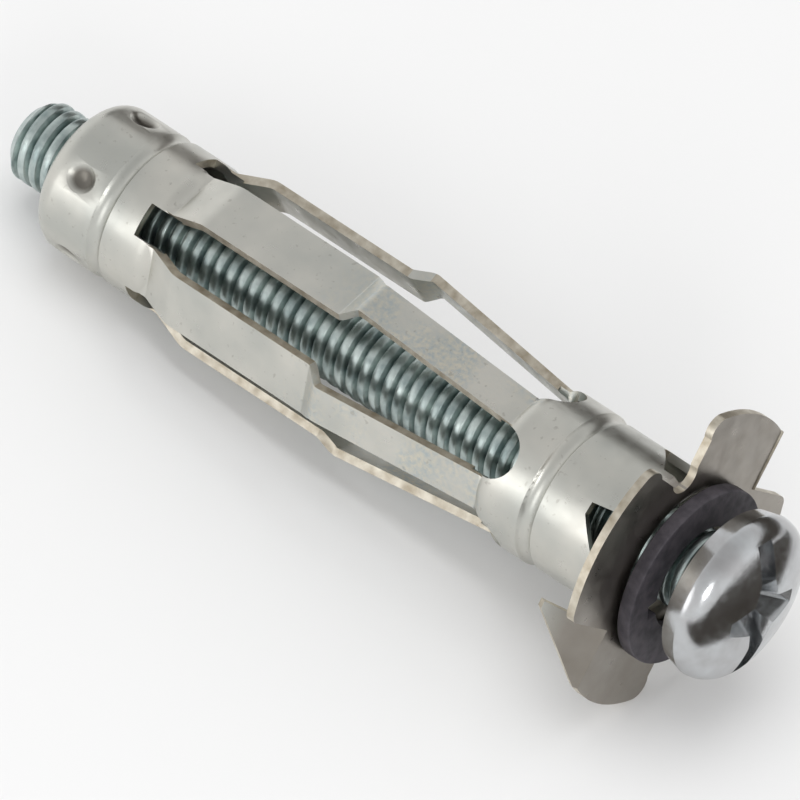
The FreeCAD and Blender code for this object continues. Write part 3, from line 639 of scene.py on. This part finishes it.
def matt_sheet(name, size, centre, finish, colour, standing=False):
    """A flat matt rectangle, lying or standing."""
    bm = bmesh.new()
    bmesh.ops.create_grid(bm, x_segments=1, y_segments=1, size=0.5)
    bmesh.ops.scale(bm, vec=(*size, 1), verts=bm.verts)
    if standing:
        bmesh.ops.rotate(bm, cent=(0, 0, 0), matrix=Matrix.Rotation(math.radians(90), 3, "X"), verts=bm.verts)
    bmesh.ops.translate(bm, vec=centre, verts=bm.verts)
    mesh = bpy.data.meshes.new(name)
    bm.to_mesh(mesh)
    bm.free()
    sheet = bpy.data.objects.new(name, mesh)
    scene.collection.objects.link(sheet)
    material, tree, _ = new_material(finish)
    shader = add(tree, "BsdfPrincipled", inputs={"Base Color": linear(colour), "Roughness": 0.9})
    add(tree, "OutputMaterial", shader)
    mesh.materials.append(material)
    return sheet


floor = matt_sheet("floor", (FLOOR_SIDE, FLOOR_SIDE), (0, 0, FLOOR_LEVEL), "white_paper", "#EDEDED")
boards = [matt_sheet("board_behind", (0.8, 0.20), (0, 0.32, 0.10), "dark_card", BOARD_COLOUR, standing=True),
          matt_sheet("board_right", (0.13, 0.20), (0.085, 0, BOARD_LEVEL), "dark_card", BOARD_COLOUR)]
for board in boards:
    board.visible_camera = board.visible_diffuse = board.visible_shadow = False
print("floor at", round(FLOOR_LEVEL / MM, 2), "mm, with", len(boards), "boards")

# %% [markdown]
# ## Light
#
# The camera sees a white room. Everything else sees it bright at the sides and dimmer above, as in a room with
# windows. A large soft lamp at the front lights the sides that face down to the viewer, and a small one
# touches the head's edge. The overhead lamp isn't seen in the metal, so it lights only the floor and the
# washer. Each lamp has a place and a size in metres, and a power in watts.

# %% Light
LOOKED_AT = Vector((-0.02, 0, 0))


def make_world():
    """A white room, dimmer above."""
    world = bpy.data.worlds.new("white_room")
    scene.world = world
    world.use_nodes = True
    tree = world.node_tree
    tree.nodes.clear()
    path = add(tree, "LightPath").outputs
    seen = add(tree, "Math", path["Is Camera Ray"], path["Is Transmission Ray"], operation="MAXIMUM")
    height = add(tree, "SeparateXYZ", add(tree, "TexCoord").outputs["Generated"]).outputs["Z"]
    dimmed = add(tree, "MapRange", height, 0.25, 0.95, 1.0, 0.62)
    strength = add(tree, "Mix", seen, dimmed, 1.0)
    room = add(tree, "Background", (1, 1, 1, 1), strength)
    add(tree, "OutputWorld", room)


def area_lamp(name, place, size, watts):
    """A soft round lamp that looks at the fixing."""
    data = bpy.data.lights.new(name, "AREA")
    data.shape = "DISK"
    data.size = size
    data.energy = watts
    lamp = bpy.data.objects.new(name, data)
    lamp.location = place
    lamp.rotation_euler = (Vector(place) - LOOKED_AT).to_track_quat("Z", "Y").to_euler()
    scene.collection.objects.link(lamp)
    return lamp


make_world()
area_lamp("front_box", (-0.22, -0.55, 0.14), 0.36, 0.42)
area_lamp("edge_light", (0.30, -0.30, 0.24), 0.14, 0.28)
overhead = area_lamp("overhead", (-0.02, 0.0, 0.70), 0.60, 1.7)
overhead.visible_glossy = False
scene.view_settings.view_transform = "Standard"

# %% [markdown]
# ## Camera
#
# The camera looks from the same side as the photograph's. Its scale and shift put the flange's back, where
# the screw's axis crosses it, on the same spot of the picture.

# %% Camera
AZIMUTH, ELEVATION, ROLL = (math.radians(v) for v in (34.7, 48.0, 9.7))
DISTANCE = 1.1
PHOTO_SIDE = 800
PIXELS_PER_MM = 15.5
ORIGIN_ACROSS, ORIGIN_DOWN = 672.4, 554.9


def make_camera():
    """The camera that sees the flange's back where the photograph has it."""
    flat = math.cos(ELEVATION)
    ahead = Vector((-math.sin(AZIMUTH) * flat, math.cos(AZIMUTH) * flat, -math.sin(ELEVATION)))
    level = Vector((math.cos(AZIMUTH), math.sin(AZIMUTH), 0))
    upright = level.cross(ahead)
    right = level * math.cos(ROLL) + upright * math.sin(ROLL)
    up = upright * math.cos(ROLL) - level * math.sin(ROLL)
    data = bpy.data.cameras.new("photo_camera")
    data.lens = PIXELS_PER_MM / MM * DISTANCE / PHOTO_SIDE * data.sensor_width
    camera = bpy.data.objects.new("photo_camera", data)
    scene.collection.objects.link(camera)
    aside = (ORIGIN_ACROSS - PHOTO_SIDE / 2) / PIXELS_PER_MM * MM
    above = (PHOTO_SIDE / 2 - ORIGIN_DOWN) / PIXELS_PER_MM * MM
    place = -ahead * DISTANCE - right * aside - up * above
    camera.matrix_world = Matrix.Translation(place) @ Matrix((right, up, -ahead)).transposed().to_4x4()
    scene.camera = camera
    print("camera lens:", round(data.lens), "mm")


make_camera()
